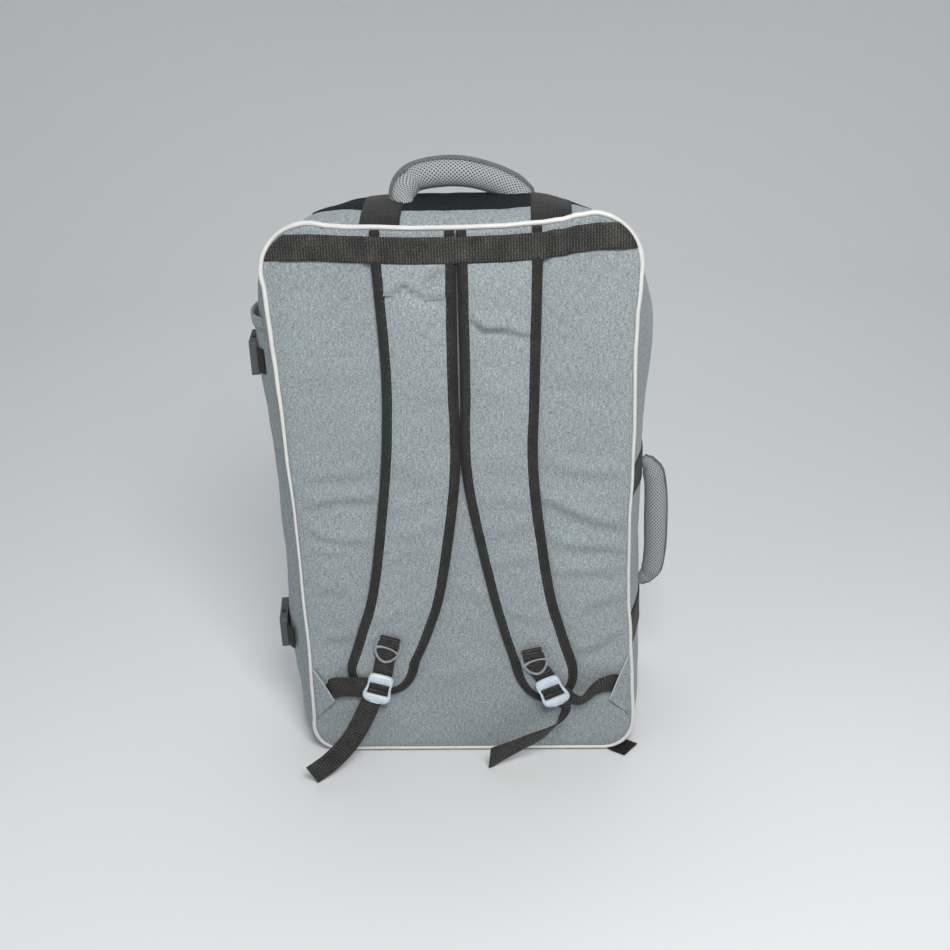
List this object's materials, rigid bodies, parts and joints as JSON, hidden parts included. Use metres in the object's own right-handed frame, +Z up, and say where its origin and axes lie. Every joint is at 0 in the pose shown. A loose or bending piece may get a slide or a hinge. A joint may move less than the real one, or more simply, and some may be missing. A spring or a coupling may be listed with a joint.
{
  "type": "cabin flight bag",
  "caption": "Upright cabin backpack with a padded back panel, piping, shoulder straps, carry handles, side compression straps and a hinged zip-around front.",
  "frame": {"origin": "centre of the flat base on the surface that the bag stands on, midway across the back panel", "axes": "+Z up along the bag's height, +Y towards the front pockets, -Y out of the back panel with the shoulder straps, +X towards the side handle"},
  "size_m": [0.4215, 0.289, 0.6025],
  "materials": {
    "melange": "heathered woven polyester",
    "lining": "smooth lining over foam",
    "piping": "satin vinyl piping",
    "webbing": "ribbed nylon webbing",
    "binding": "fine twill binding tape",
    "mesh": "air mesh over foam",
    "zipper": "coil zipper on woven tape",
    "hardware_light": "satin moulded plastic",
    "hardware_ring": "satin moulded plastic",
    "hardware_dark": "satin moulded plastic",
    "slider_metal": "gunmetal lacquer",
    "board": "extruded sheet"
  },
  "bodies": {
    "bag": {"back_panel": "melange", "back_frame_sheet": "board", "back_piping": "piping", "main_gusset": "melange", "bottom_board": "board", "top_handle_anchor_left": "webbing", "top_handle_anchor_right": "webbing", "side_handle_anchor_upper": "webbing", "side_handle_anchor_lower": "webbing", "side_slip_pocket": "melange", "main_zipper_rear_tape": "zipper", "hinge_strip": "melange", "left_strap_root": "melange", "right_strap_root": "melange", "back_band": "webbing", "left_wing": "melange", "right_wing": "melange", "upper_buckle_socket": "hardware_dark", "lower_buckle_socket": "hardware_dark", "upper_strap_rear_webbing": "webbing", "upper_strap_front_webbing": "webbing", "lower_strap_rear_webbing": "webbing", "lower_strap_front_webbing": "webbing", "corner_tab": "webbing"},
    "front_flap": {"main_zipper_front_tape": "zipper", "front_shell": "melange", "front_piping": "piping", "lower_front_pocket": "melange", "lower_pocket_zipper": "zipper", "upper_front_pocket": "melange", "upper_pocket_zipper": "zipper"},
    "main_slider_left": {"main_slider_left": "slider_metal"},
    "main_pull_left": {"main_pull_left": "hardware_dark"},
    "main_slider_right": {"main_slider_right": "slider_metal"},
    "main_pull_right": {"main_pull_right": "hardware_dark"},
    "lower_pocket_slider": {"lower_pocket_slider": "slider_metal"},
    "lower_pocket_pull": {"lower_pocket_pull": "hardware_dark"},
    "lower_buckle_plug": {"lower_buckle_plug": "hardware_dark"},
    "upper_pocket_slider": {"upper_pocket_slider": "slider_metal"},
    "upper_pocket_pull": {"upper_pocket_pull": "hardware_dark"},
    "upper_buckle_plug": {"upper_buckle_plug": "hardware_dark"},
    "left_strap": {"left_strap_pad": "melange", "left_strap_binding": "binding", "left_strap_webbing": "webbing", "left_adjuster_webbing": "webbing"},
    "left_d_ring": {"left_d_ring": "hardware_ring"},
    "left_ladder_lock": {"left_ladder_lock": "hardware_light", "left_webbing_tail": "webbing"},
    "right_strap": {"right_strap_pad": "melange", "right_strap_binding": "binding", "right_strap_webbing": "webbing", "right_adjuster_webbing": "webbing"},
    "right_d_ring": {"right_d_ring": "hardware_ring"},
    "right_ladder_lock": {"right_ladder_lock": "hardware_light", "right_webbing_tail": "webbing"},
    "top_handle": {"top_handle_grip": "mesh", "top_handle_cover": "melange"},
    "side_handle": {"side_handle_grip": "mesh", "side_handle_cover": "melange"}
  },
  "joints": [
    {"name": "front_flap_hinge", "type": "hinge", "parent": "bag", "child": "front_flap", "pos_m": [-0.176, 0.0605, 0.28], "axis": [0, 0, 1], "range_deg": [0, 95]},
    {"name": "top_handle_hinge", "type": "hinge", "parent": "bag", "child": "top_handle", "pos_m": [0.012, -0.018, 0.5725], "axis": [1, 0, 0], "range_deg": [-50, 50]},
    {"name": "side_handle_hinge", "type": "hinge", "parent": "bag", "child": "side_handle", "pos_m": [0.1845, -0.018, 0.23], "axis": [0, 0, 1], "range_deg": [-40, 40]},
    {"name": "main_slider_left_slide", "type": "slide", "parent": "bag", "child": "main_slider_left", "axis": [-1, 0, 0], "range_m": [0, 0.06]},
    {"name": "main_pull_left_hinge", "type": "hinge", "parent": "main_slider_left", "child": "main_pull_left", "pos_m": [-0.014, 0.0665, 0.5502], "axis": [1, 0, 0], "range_deg": [0, 120]},
    {"name": "main_slider_right_slide", "type": "slide", "parent": "bag", "child": "main_slider_right", "axis": [1, 0, 0], "range_m": [0, 0.06]},
    {"name": "main_pull_right_hinge", "type": "hinge", "parent": "main_slider_right", "child": "main_pull_right", "pos_m": [0.014, 0.0665, 0.5502], "axis": [1, 0, 0], "range_deg": [0, 120]},
    {"name": "lower_pocket_slider_slide", "type": "slide", "parent": "front_flap", "child": "lower_pocket_slider", "axis": [1, 0, 0], "range_m": [0, 0.2]},
    {"name": "lower_pocket_pull_hinge", "type": "hinge", "parent": "lower_pocket_slider", "child": "lower_pocket_pull", "pos_m": [-0.1, 0.1287, 0.259], "axis": [1, 0, 0], "range_deg": [0, 110]},
    {"name": "upper_pocket_slider_slide", "type": "slide", "parent": "front_flap", "child": "upper_pocket_slider", "axis": [1, 0, 0], "range_m": [0, 0.2]},
    {"name": "upper_pocket_pull_hinge", "type": "hinge", "parent": "upper_pocket_slider", "child": "upper_pocket_pull", "pos_m": [-0.1, 0.1247, 0.477], "axis": [1, 0, 0], "range_deg": [0, 110]},
    {"name": "lower_buckle_release", "type": "slide", "parent": "bag", "child": "lower_buckle_plug", "axis": [-0.1392, 0.9903, 0], "range_m": [0, 0.03]},
    {"name": "upper_buckle_release", "type": "slide", "parent": "bag", "child": "upper_buckle_plug", "axis": [-0.1392, 0.9903, 0], "range_m": [0, 0.03]},
    {"name": "left_strap_swing", "type": "hinge", "parent": "bag", "child": "left_strap", "pos_m": [-0.036, -0.107, 0.521], "axis": [-1, 0, 0], "range_deg": [0, 14]},
    {"name": "right_strap_swing", "type": "hinge", "parent": "bag", "child": "right_strap", "pos_m": [0.041, -0.107, 0.521], "axis": [-1, 0, 0], "range_deg": [0, 14]},
    {"name": "left_d_ring_flip", "type": "hinge", "parent": "left_strap", "child": "left_d_ring", "pos_m": [-0.07908, -0.1192, 0.14619], "axis": [-0.9563, 0, 0.2924], "range_deg": [0, 80]},
    {"name": "left_ladder_lock_tilt", "type": "hinge", "parent": "left_strap", "child": "left_ladder_lock", "pos_m": [-0.08947, -0.1247, 0.10582], "axis": [-0.9563, 0, 0.2924], "range_deg": [0, 30]},
    {"name": "right_d_ring_flip", "type": "hinge", "parent": "right_strap", "child": "right_d_ring", "pos_m": [0.06337, -0.1192, 0.13094], "axis": [-0.9781, 0, -0.2079], "range_deg": [0, 80]},
    {"name": "right_ladder_lock_tilt", "type": "hinge", "parent": "right_strap", "child": "right_ladder_lock", "pos_m": [0.07645, -0.1247, 0.10005], "axis": [-0.9063, 0, -0.4226], "range_deg": [0, 30]}
  ]
}
